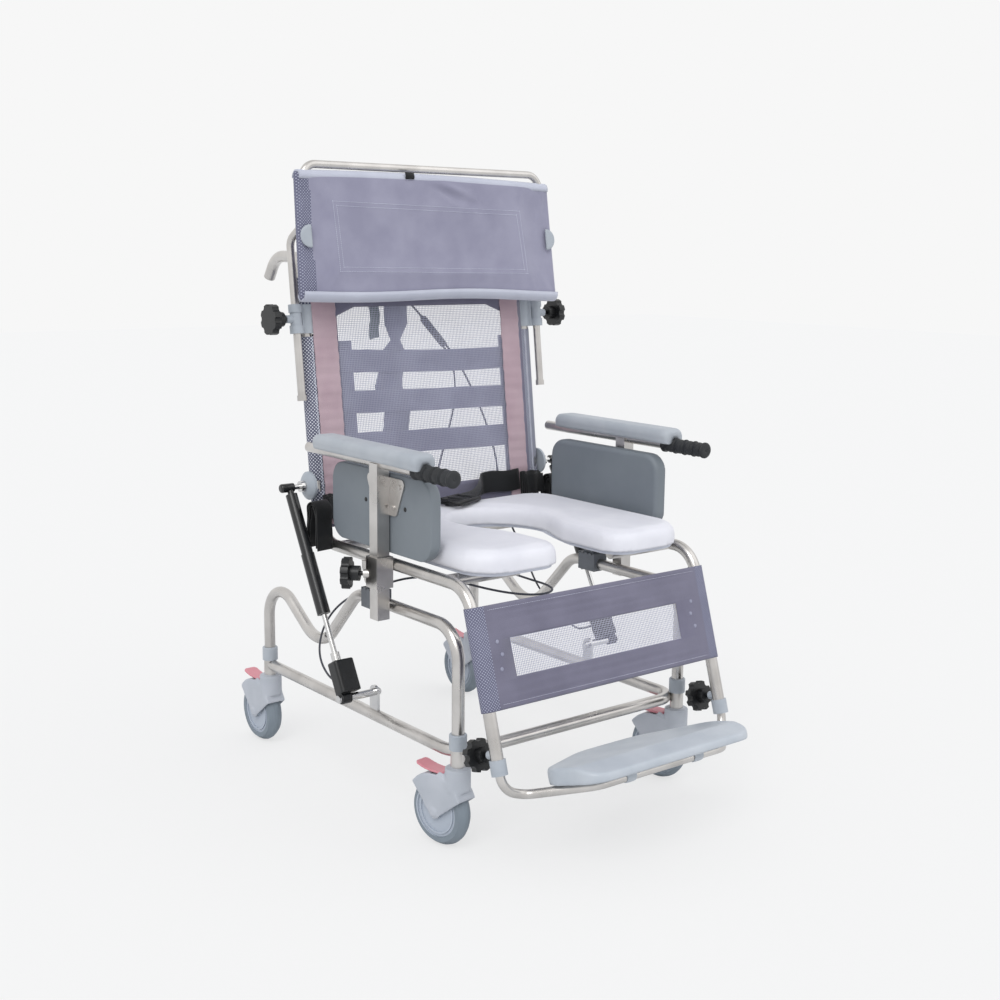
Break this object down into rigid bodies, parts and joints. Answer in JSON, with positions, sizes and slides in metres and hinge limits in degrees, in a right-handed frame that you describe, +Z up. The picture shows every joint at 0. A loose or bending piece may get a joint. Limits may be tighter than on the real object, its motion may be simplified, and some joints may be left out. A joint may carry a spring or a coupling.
{
  "type": "tilt-in-space shower chair",
  "caption": "Wheeled steel shower chair that tilts as a whole, with net back, open-front seat, headrest, armrests, calf panel and footrest on braked casters",
  "frame": {"origin": "on the floor below the middle of the chair's box, as it stands at rest", "axes": "+Z is up, the sitter faces -Y, +X is the sitter's left"},
  "size_m": [0.716, 1.02, 1.1769],
  "materials": {
    "steel": "brushed",
    "caster_grey": "satin",
    "tyre": "matte",
    "pedal": "satin",
    "collar": "satin",
    "black_plastic": "satin",
    "black_steel": "satin",
    "chrome": "polished",
    "cushion": "smooth foam skin",
    "sling": "woven",
    "strap": "woven",
    "pad": "smooth foam skin",
    "panel": "satin",
    "plate": "smooth",
    "webbing": "woven",
    "board": "matte",
    "grip_rubber": "matte",
    "headrest_cloth": "woven"
  },
  "bodies": {
    "base": {"hump_tube_left": "steel", "hump_tube_right": "steel", "lower_frame": "steel", "post_collars": "collar", "spring_brackets": "chrome", "pivot_saddles": "black_plastic"},
    "seat_frame": {"side_tube_left": "steel", "side_tube_right": "steel", "cross_bars": "steel", "tilt_hinges": "steel", "seat_board": "board", "seat_cushion": "cushion", "back_sling": "sling", "back_straps": "strap", "calf_panel": "sling", "arm_sockets": "steel", "tube_clamps": "collar", "spring_top_pins": "chrome", "spacer_discs": "collar", "lap_belt": "webbing", "release_cables": "webbing", "cable_tails": "webbing", "lever_bracket": "black_steel"},
    "lever": {"release_lever": "black_steel"},
    "headrest": {"headrest_frame": "steel", "headrest_cover": "headrest_cloth"},
    "footrest": {"footrest_loop": "steel"},
    "foot_plate": {"foot_plate": "plate"},
    "spring_rod_left": {"spring_rod_left": "chrome", "release_head_left": "black_plastic"},
    "spring_cylinder_left": {"spring_cylinder_left": "black_steel"},
    "spring_rod_right": {"spring_rod_right": "chrome", "release_head_right": "black_plastic"},
    "spring_cylinder_right": {"spring_cylinder_right": "black_steel"},
    "armrest_left": {"arm_frame_left": "steel", "arm_pad_left": "pad", "hand_grip_left": "grip_rubber", "side_panel_left": "panel"},
    "headrest_knob_left": {"headrest_knob_left": "black_plastic"},
    "arm_knob_left": {"arm_knob_left": "black_plastic"},
    "footrest_knob_left": {"footrest_knob_left": "black_plastic"},
    "armrest_right": {"arm_frame_right": "steel", "arm_pad_right": "pad", "hand_grip_right": "grip_rubber", "side_panel_right": "panel"},
    "headrest_knob_right": {"headrest_knob_right": "black_plastic"},
    "arm_knob_right": {"arm_knob_right": "black_plastic"},
    "footrest_knob_right": {"footrest_knob_right": "black_plastic"},
    "caster_front_left": {"caster_fork_front_left": "caster_grey"},
    "wheel_front_left": {"caster_wheel_front_left": "tyre"},
    "pedal_front_left": {"brake_pedal_front_left": "pedal"},
    "caster_front_right": {"caster_fork_front_right": "caster_grey"},
    "wheel_front_right": {"caster_wheel_front_right": "tyre"},
    "pedal_front_right": {"brake_pedal_front_right": "pedal"},
    "caster_rear_left": {"caster_fork_rear_left": "caster_grey"},
    "wheel_rear_left": {"caster_wheel_rear_left": "tyre"},
    "pedal_rear_left": {"brake_pedal_rear_left": "pedal"},
    "caster_rear_right": {"caster_fork_rear_right": "caster_grey"},
    "wheel_rear_right": {"caster_wheel_rear_right": "tyre"},
    "pedal_rear_right": {"brake_pedal_rear_right": "pedal"}
  },
  "joints": [
    {"name": "tilt", "type": "hinge", "parent": "base", "child": "seat_frame", "pos_m": [0, 0.0095, 0.432], "axis": [-1, 0, 0], "range_deg": [0, 24], "deforming": ["cable_tails"]},
    {"name": "spring_foot_left", "type": "hinge", "parent": "base", "child": "spring_rod_left", "pos_m": [0.323, 0.0165, 0.215], "axis": [-1, 0, 0], "range_deg": [0, 13.4]},
    {"name": "spring_head_left", "type": "hinge", "parent": "seat_frame", "child": "spring_cylinder_left", "pos_m": [0.323, 0.21252, 0.574], "axis": [1, 0, 0], "range_deg": [0, 11]},
    {"name": "spring_foot_right", "type": "hinge", "parent": "base", "child": "spring_rod_right", "pos_m": [-0.323, 0.0165, 0.215], "axis": [-1, 0, 0], "range_deg": [0, 13.4]},
    {"name": "spring_head_right", "type": "hinge", "parent": "seat_frame", "child": "spring_cylinder_right", "pos_m": [-0.323, 0.21252, 0.574], "axis": [1, 0, 0], "range_deg": [0, 11]},
    {"name": "headrest_height", "type": "slide", "parent": "seat_frame", "child": "headrest", "axis": [0, 0.1219, 0.9925], "range_m": [-0.08, 0.11]},
    {"name": "footrest_height", "type": "slide", "parent": "seat_frame", "child": "footrest", "axis": [0, -0.2924, -0.9563], "range_m": [0, 0.09]},
    {"name": "foot_plate_fold", "type": "hinge", "parent": "footrest", "child": "foot_plate", "pos_m": [0, -0.46957, 0.16167], "axis": [1, 0, 0], "range_deg": [0, 90]},
    {"name": "lever_lift", "type": "hinge", "parent": "seat_frame", "child": "lever", "pos_m": [-0.232, 0.26187, 0.976], "axis": [0, -1, 0], "range_deg": [0, 20], "stiffness_Nm_per_rad": 0.6, "springref_deg": -17.19},
    {"name": "arm_height_left", "type": "slide", "parent": "seat_frame", "child": "armrest_left", "axis": [0, 0, 1], "range_m": [0, 0.07]},
    {"name": "headrest_knob_turn_left", "type": "hinge", "parent": "seat_frame", "child": "headrest_knob_left", "pos_m": [0.32, 0.23581, 0.88683], "axis": [1, 0, 0], "range_deg": [0, 720]},
    {"name": "arm_knob_turn_left", "type": "hinge", "parent": "seat_frame", "child": "arm_knob_left", "pos_m": [0.322, -0.016, 0.4535], "axis": [0.7071, 0.7071, 0], "range_deg": [0, 720]},
    {"name": "footrest_knob_turn_left", "type": "hinge", "parent": "seat_frame", "child": "footrest_knob_left", "pos_m": [0.263, -0.31854, 0.19392], "axis": [0, 0.9563, -0.2924], "range_deg": [0, 720]},
    {"name": "arm_height_right", "type": "slide", "parent": "seat_frame", "child": "armrest_right", "axis": [0, 0, 1], "range_m": [0, 0.07]},
    {"name": "headrest_knob_turn_right", "type": "hinge", "parent": "seat_frame", "child": "headrest_knob_right", "pos_m": [-0.32, 0.23581, 0.88683], "axis": [-1, 0, 0], "range_deg": [0, 720]},
    {"name": "arm_knob_turn_right", "type": "hinge", "parent": "seat_frame", "child": "arm_knob_right", "pos_m": [-0.322, -0.016, 0.4535], "axis": [-0.7071, 0.7071, 0], "range_deg": [0, 720]},
    {"name": "footrest_knob_turn_right", "type": "hinge", "parent": "seat_frame", "child": "footrest_knob_right", "pos_m": [-0.263, -0.31854, 0.19392], "axis": [0, 0.9563, -0.2924], "range_deg": [0, 720]},
    {"name": "swivel_front_left", "type": "hinge", "parent": "base", "child": "caster_front_left", "pos_m": [0.263, -0.2415, 0.17], "axis": [0, 0, 1], "continuous": true},
    {"name": "wheel_turn_front_left", "type": "hinge", "parent": "caster_front_left", "child": "wheel_front_left", "pos_m": [0.25706, -0.20397, 0.0625], "axis": [0.9877, 0.1564, 0], "continuous": true},
    {"name": "pedal_press_front_left", "type": "hinge", "parent": "caster_front_left", "child": "pedal_front_left", "pos_m": [0.25909, -0.21681, 0.1315], "axis": [0.9877, 0.1564, 0], "range_deg": [0, 15]},
    {"name": "swivel_front_right", "type": "hinge", "parent": "base", "child": "caster_front_right", "pos_m": [-0.263, -0.2415, 0.17], "axis": [0, 0, 1], "continuous": true},
    {"name": "wheel_turn_front_right", "type": "hinge", "parent": "caster_front_right", "child": "wheel_front_right", "pos_m": [-0.26894, -0.20397, 0.0625], "axis": [0.9877, 0.1564, 0], "continuous": true},
    {"name": "pedal_press_front_right", "type": "hinge", "parent": "caster_front_right", "child": "pedal_front_right", "pos_m": [-0.26691, -0.21681, 0.1315], "axis": [0.9877, 0.1564, 0], "range_deg": [0, 15]},
    {"name": "swivel_rear_left", "type": "hinge", "parent": "base", "child": "caster_rear_left", "pos_m": [0.263, 0.4095, 0.17], "axis": [0, 0, 1], "continuous": true},
    {"name": "wheel_turn_rear_left", "type": "hinge", "parent": "caster_rear_left", "child": "wheel_rear_left", "pos_m": [0.263, 0.4475, 0.0625], "axis": [1, 0, 0], "continuous": true},
    {"name": "pedal_press_rear_left", "type": "hinge", "parent": "caster_rear_left", "child": "pedal_rear_left", "pos_m": [0.263, 0.4345, 0.1315], "axis": [1, 0, 0], "range_deg": [0, 15]},
    {"name": "swivel_rear_right", "type": "hinge", "parent": "base", "child": "caster_rear_right", "pos_m": [-0.263, 0.4095, 0.17], "axis": [0, 0, 1], "continuous": true},
    {"name": "wheel_turn_rear_right", "type": "hinge", "parent": "caster_rear_right", "child": "wheel_rear_right", "pos_m": [-0.263, 0.4475, 0.0625], "axis": [1, 0, 0], "continuous": true},
    {"name": "pedal_press_rear_right", "type": "hinge", "parent": "caster_rear_right", "child": "pedal_rear_right", "pos_m": [-0.263, 0.4345, 0.1315], "axis": [1, 0, 0], "range_deg": [0, 15]}
  ],
  "couplings": [
    {"joint": "spring_foot_left", "follows": "tilt", "ratio": 0.55},
    {"joint": "spring_head_left", "follows": "tilt", "ratio": 0.45},
    {"joint": "spring_foot_right", "follows": "tilt", "ratio": 0.55},
    {"joint": "spring_head_right", "follows": "tilt", "ratio": 0.45}
  ]
}
